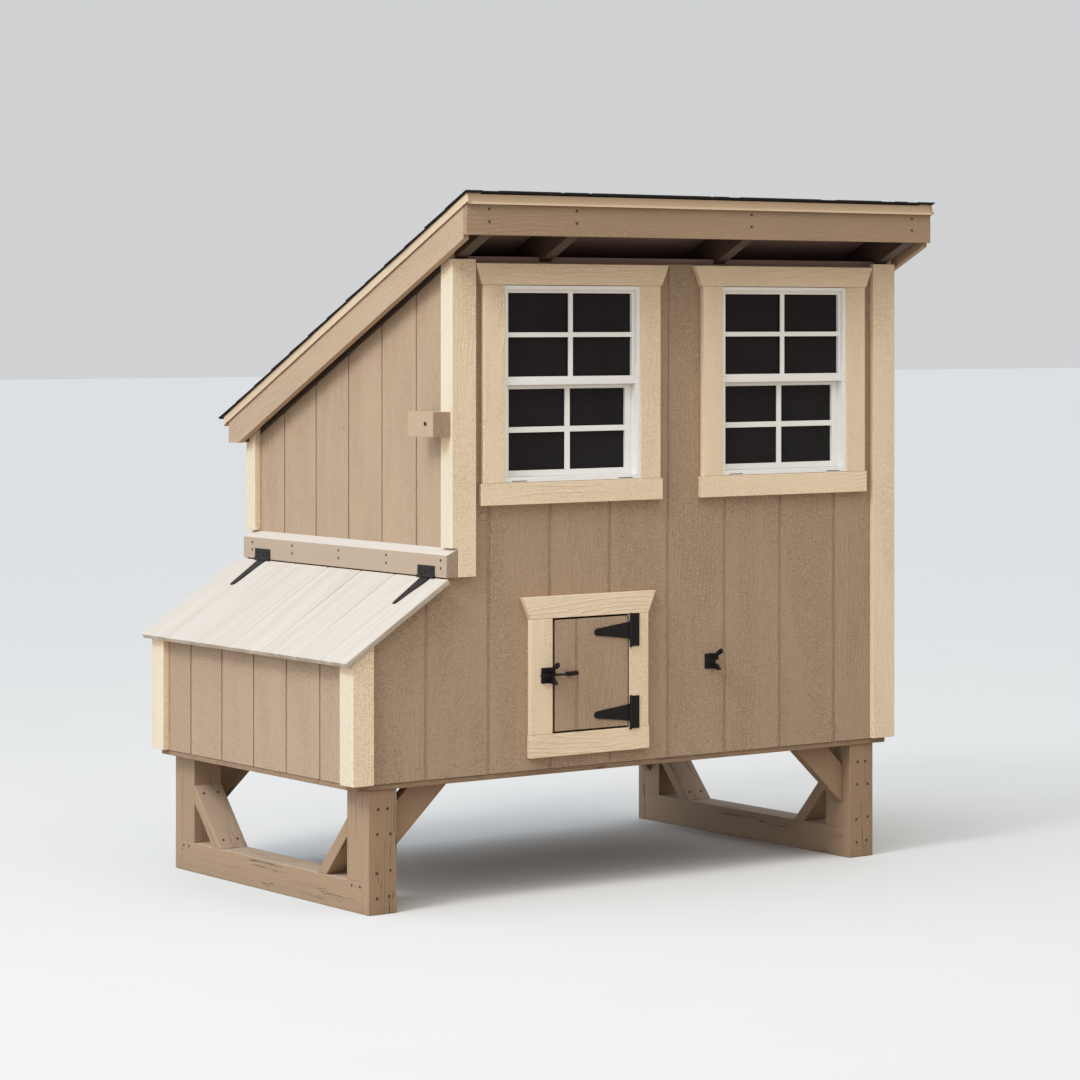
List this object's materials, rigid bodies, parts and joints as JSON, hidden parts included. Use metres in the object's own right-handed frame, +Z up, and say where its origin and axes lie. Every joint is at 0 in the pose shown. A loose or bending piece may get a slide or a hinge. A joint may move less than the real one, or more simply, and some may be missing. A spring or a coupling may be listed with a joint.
{
  "type": "chicken coop",
  "caption": "Raised lean-to timber chicken coop with a lift-up nest box lid, a latched hen door, sliding sash windows, an access door and a shingle roof.",
  "frame": {"origin": "centre of the whole object's footprint, on the ground", "axes": "+X along the front from the nest box end to the other end, +Y from the front wall to the back wall, +Z up"},
  "size_m": [1.9609, 1.5229, 2.0484],
  "materials": {
    "painted_timber": "satin taupe paint on sawn timber",
    "painted_siding": "satin taupe paint on grooved, wood-grain embossed sheet",
    "cream_trim": "satin cream paint on wood-grain embossed boards",
    "bare_timber": "bare pine and plywood",
    "black_hardware": "semi-matt black powder coat",
    "white_vinyl": "smooth white extrusion",
    "dark_glass": "window glass over a dark interior",
    "drip_metal": "taupe painted folded metal",
    "shingle": "black mineral-surfaced shingle"
  },
  "bodies": {
    "coop": {"runners": "painted_timber", "corner_posts": "painted_timber", "post_cheeks": "painted_timber", "runner_braces": "painted_timber", "floor_braces": "painted_timber", "bottom_sheet": "painted_timber", "floor_frame": "bare_timber", "floor_deck": "bare_timber", "front_wall_frame": "bare_timber", "back_wall_frame": "bare_timber", "end_wall_frames": "bare_timber", "front_siding": "painted_siding", "back_siding": "painted_siding", "left_end_siding": "painted_siding", "right_end_siding": "painted_siding", "nest_end_siding": "painted_siding", "coop_corner_boards": "cream_trim", "nest_corner_boards": "cream_trim", "nest_corner_cleats": "bare_timber", "nest_partitions": "bare_timber", "lid_ledger": "painted_timber", "lid_hinge_plates": "black_hardware", "hinge_pins": "black_hardware", "keeper_spacer": "painted_timber", "keeper_screw": "black_hardware", "window_casings": "cream_trim", "window_frames": "white_vinyl", "upper_sashes": "white_vinyl", "upper_glass": "dark_glass", "hen_door_casing": "cream_trim", "door_hinge_plates": "black_hardware", "latch_catches": "black_hardware", "latch_pins": "black_hardware", "access_casing": "cream_trim", "rafters": "painted_timber", "roof_deck": "bare_timber", "fascia_boards": "painted_timber", "rake_boards": "painted_timber", "drip_edge": "drip_metal", "shingles": "shingle", "roost_bars": "bare_timber", "timber_screws": "black_hardware"},
    "nest_lid": {"nest_lid": "painted_siding", "lid_hinge_straps": "black_hardware"},
    "lid_keeper": {"lid_keeper": "painted_timber"},
    "hen_door": {"hen_door": "painted_siding", "hen_door_battens": "bare_timber", "hen_hinge_straps": "black_hardware", "hen_striker": "black_hardware"},
    "hen_pawl": {"hen_pawl": "black_hardware"},
    "hold_pawl": {"hold_pawl": "black_hardware"},
    "sash_left": {"lower_sash_left": "white_vinyl", "lower_glass_left": "dark_glass"},
    "sash_right": {"lower_sash_right": "white_vinyl", "lower_glass_right": "dark_glass"},
    "access_door": {"access_door": "painted_siding", "access_door_battens": "bare_timber", "access_hinge_straps": "black_hardware", "access_striker": "black_hardware"},
    "access_pawl": {"access_pawl": "black_hardware"}
  },
  "joints": [
    {"name": "lid_hinge", "type": "hinge", "parent": "coop", "child": "nest_lid", "pos_m": [-0.65828, 0.02749, 0.9431], "axis": [0, 1, 0], "range_deg": [0, 122.9]},
    {"name": "keeper_turn", "type": "hinge", "parent": "coop", "child": "lid_keeper", "pos_m": [-0.65832, -0.55347, 1.3843], "axis": [1, 0, 0], "range_deg": [-90, 90]},
    {"name": "hen_door_hinge", "type": "hinge", "parent": "coop", "child": "hen_door", "pos_m": [-0.04008, -0.61131, 0.64008], "axis": [0, 0, 1], "range_deg": [0, 180]},
    {"name": "hen_pawl_pivot", "type": "hinge", "parent": "coop", "child": "hen_pawl", "pos_m": [-0.31262, -0.61521, 0.65941], "axis": [-1, 0, 0], "range_deg": [-18, 35]},
    {"name": "hold_pawl_pivot", "type": "hinge", "parent": "coop", "child": "hold_pawl", "pos_m": [0.26675, -0.59601, 0.66441], "axis": [-1, 0, 0], "range_deg": [-18, 35]},
    {"name": "left_sash_slide", "type": "slide", "parent": "coop", "child": "sash_left", "axis": [0, 0, 1], "range_m": [0, 0.25]},
    {"name": "right_sash_slide", "type": "slide", "parent": "coop", "child": "sash_right", "axis": [0, 0, 1], "range_m": [0, 0.25]},
    {"name": "access_door_hinge", "type": "hinge", "parent": "coop", "child": "access_door", "pos_m": [0.93822, 0.16383, 0.9144], "axis": [0, 0, 1], "range_deg": [0, 120]},
    {"name": "access_pawl_pivot", "type": "hinge", "parent": "coop", "child": "access_pawl", "pos_m": [0.94212, -0.40589, 0.9284], "axis": [0, -1, 0], "range_deg": [-18, 35]}
  ]
}
